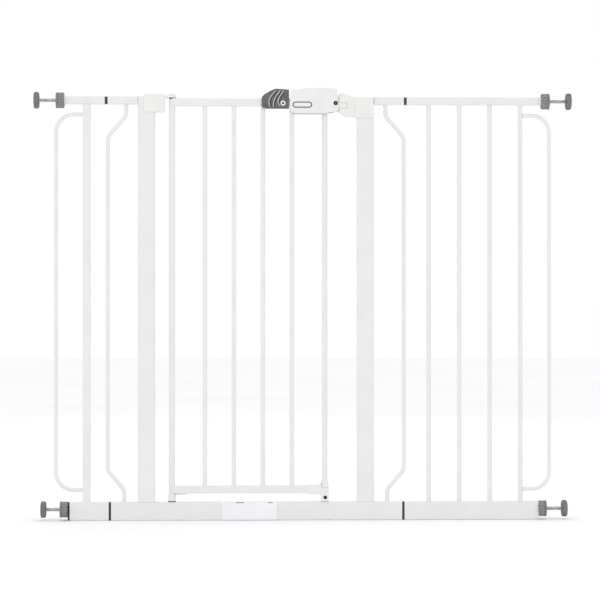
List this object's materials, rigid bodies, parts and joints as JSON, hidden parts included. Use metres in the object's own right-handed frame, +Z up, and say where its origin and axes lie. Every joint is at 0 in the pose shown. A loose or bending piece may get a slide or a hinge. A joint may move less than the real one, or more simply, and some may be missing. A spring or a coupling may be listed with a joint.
{
  "type": "safety baby gate",
  "caption": "White steel pressure-fitted child safety gate with a swing door, lift-handle latch, a narrow and a wide side panel, and threaded spindles with wall pads.",
  "frame": {"origin": "on the floor, midway between the outer faces of the two top wall pads, in the gate's middle plane", "axes": "+X along the gate to the right as seen from the front, +Y through it to the back, +Z up"},
  "size_m": [1.137, 0.035, 0.9127],
  "materials": {
    "white_steel": "white powder coat on steel tube",
    "white_plastic": "moulded white ABS, satin",
    "grey_plastic": "moulded grey ABS with thumb ribs",
    "grey_nylon": "moulded grey nylon",
    "dark_plastic": "moulded dark grey plastic",
    "dark_screws": "black oxide steel",
    "badge": "blank grey oval plate",
    "plate": "pale translucent white plastic",
    "zinc_steel": "bright zinc plate",
    "spring_steel": "plain spring wire",
    "rubber": "soft grey rubber"
  },
  "bodies": {
    "frame": {"bottom_rail": "white_steel", "hinge_post": "white_steel", "latch_post": "white_steel", "top_stub_left": "white_steel", "top_stub_right": "white_steel", "side_rod_left": "white_steel", "side_rod_right": "white_steel", "hinge_bracket": "white_plastic", "frame_screws": "zinc_steel", "bottom_hinge_bushing": "dark_plastic", "latch_catch": "white_plastic", "bottom_strike": "white_steel", "threshold_plate": "plate", "joint_plug_top_left": "dark_plastic", "joint_plug_bottom_left": "dark_plastic", "joint_plug_top_right": "dark_plastic", "joint_plug_bottom_right": "dark_plastic", "narrow_panel_top_rail": "white_steel", "narrow_panel_bottom_rail": "white_steel", "narrow_panel_post": "white_steel", "narrow_panel_loop": "white_steel", "wide_panel_top_rail": "white_steel", "wide_panel_bottom_rail": "white_steel", "wide_panel_bars": "white_steel", "wide_panel_loop": "white_steel", "end_plug_top_left": "white_plastic", "end_plug_bottom_left": "dark_plastic", "end_plug_top_right": "white_plastic", "end_plug_bottom_right": "white_plastic"},
    "door": {"door_top_rail": "white_steel", "door_bottom_rail": "white_steel", "hinge_stile": "white_steel", "latch_stile": "white_steel", "door_bars": "white_steel", "top_hinge_pin": "zinc_steel", "top_hinge_washer": "dark_plastic", "hinge_foot": "white_plastic", "bottom_shoe": "white_plastic", "shoe_screw": "dark_screws", "latch_block": "white_plastic", "handle_pivot_pin": "dark_screws", "handle_spring": "spring_steel", "release_pin": "white_plastic", "release_spring": "spring_steel"},
    "handle": {"handle_shell": "white_plastic", "handle_badge": "badge"},
    "release": {"release_trigger": "grey_plastic"},
    "spindle_top_left": {"spindle_rod_top_left": "zinc_steel", "wall_pad_top_left": "rubber"},
    "nut_top_left": {"adjusting_nut_top_left": "grey_nylon"},
    "spindle_bottom_left": {"spindle_rod_bottom_left": "zinc_steel", "wall_pad_bottom_left": "rubber"},
    "nut_bottom_left": {"adjusting_nut_bottom_left": "grey_nylon"},
    "spindle_top_right": {"spindle_rod_top_right": "zinc_steel", "wall_pad_top_right": "rubber"},
    "nut_top_right": {"adjusting_nut_top_right": "grey_nylon"},
    "spindle_bottom_right": {"spindle_rod_bottom_right": "zinc_steel", "wall_pad_bottom_right": "rubber"},
    "nut_bottom_right": {"adjusting_nut_bottom_right": "grey_nylon"}
  },
  "joints": [
    {"name": "door_swing", "type": "hinge", "parent": "frame", "child": "door", "pos_m": [-0.27775, 0, 0.886], "axis": [0, 0, 1], "range_deg": [-90, 90]},
    {"name": "handle_lift", "type": "hinge", "parent": "door", "child": "handle", "pos_m": [0.06795, 0, 0.8804], "axis": [0, 1, 0], "range_deg": [0, 15], "stiffness_Nm_per_rad": 0.3, "springref_deg": -17.19},
    {"name": "release_press", "type": "hinge", "parent": "door", "child": "release", "pos_m": [-0.04325, 0, 0.88], "axis": [0, -1, 0], "range_deg": [0, 5], "stiffness_Nm_per_rad": 0.6, "springref_deg": -5.73, "deforming": ["release_spring"]},
    {"name": "rod_slide_top_left", "type": "slide", "parent": "frame", "child": "spindle_top_left", "axis": [-1, 0, 0], "range_m": [-0.03, 0.0325]},
    {"name": "nut_spin_top_left", "type": "hinge", "parent": "frame", "child": "nut_top_left", "pos_m": [-0.51855, 0, 0.886], "axis": [1, 0, 0], "range_deg": [-8700, 9420]},
    {"name": "rod_slide_bottom_left", "type": "slide", "parent": "frame", "child": "spindle_bottom_left", "axis": [-1, 0, 0], "range_m": [-0.028, 0.0325]},
    {"name": "nut_spin_bottom_left", "type": "hinge", "parent": "frame", "child": "nut_bottom_left", "pos_m": [-0.50325, 0, 0.0225], "axis": [1, 0, 0], "range_deg": [-8124, 9420]},
    {"name": "rod_slide_top_right", "type": "slide", "parent": "frame", "child": "spindle_top_right", "axis": [1, 0, 0], "range_m": [-0.03, 0.0325]},
    {"name": "nut_spin_top_right", "type": "hinge", "parent": "frame", "child": "nut_top_right", "pos_m": [0.51855, 0, 0.886], "axis": [-1, 0, 0], "range_deg": [-8700, 9420]},
    {"name": "rod_slide_bottom_right", "type": "slide", "parent": "frame", "child": "spindle_bottom_right", "axis": [1, 0, 0], "range_m": [-0.03, 0.0325]},
    {"name": "nut_spin_bottom_right", "type": "hinge", "parent": "frame", "child": "nut_bottom_right", "pos_m": [0.50905, 0, 0.0225], "axis": [-1, 0, 0], "range_deg": [-8700, 9420]}
  ],
  "couplings": [
    {"joint": "nut_spin_top_left", "follows": "rod_slide_top_left", "rad_per_m": 5026.5},
    {"joint": "nut_spin_bottom_left", "follows": "rod_slide_bottom_left", "rad_per_m": 5026.5},
    {"joint": "nut_spin_top_right", "follows": "rod_slide_top_right", "rad_per_m": 5026.5},
    {"joint": "nut_spin_bottom_right", "follows": "rod_slide_bottom_right", "rad_per_m": 5026.5}
  ]
}
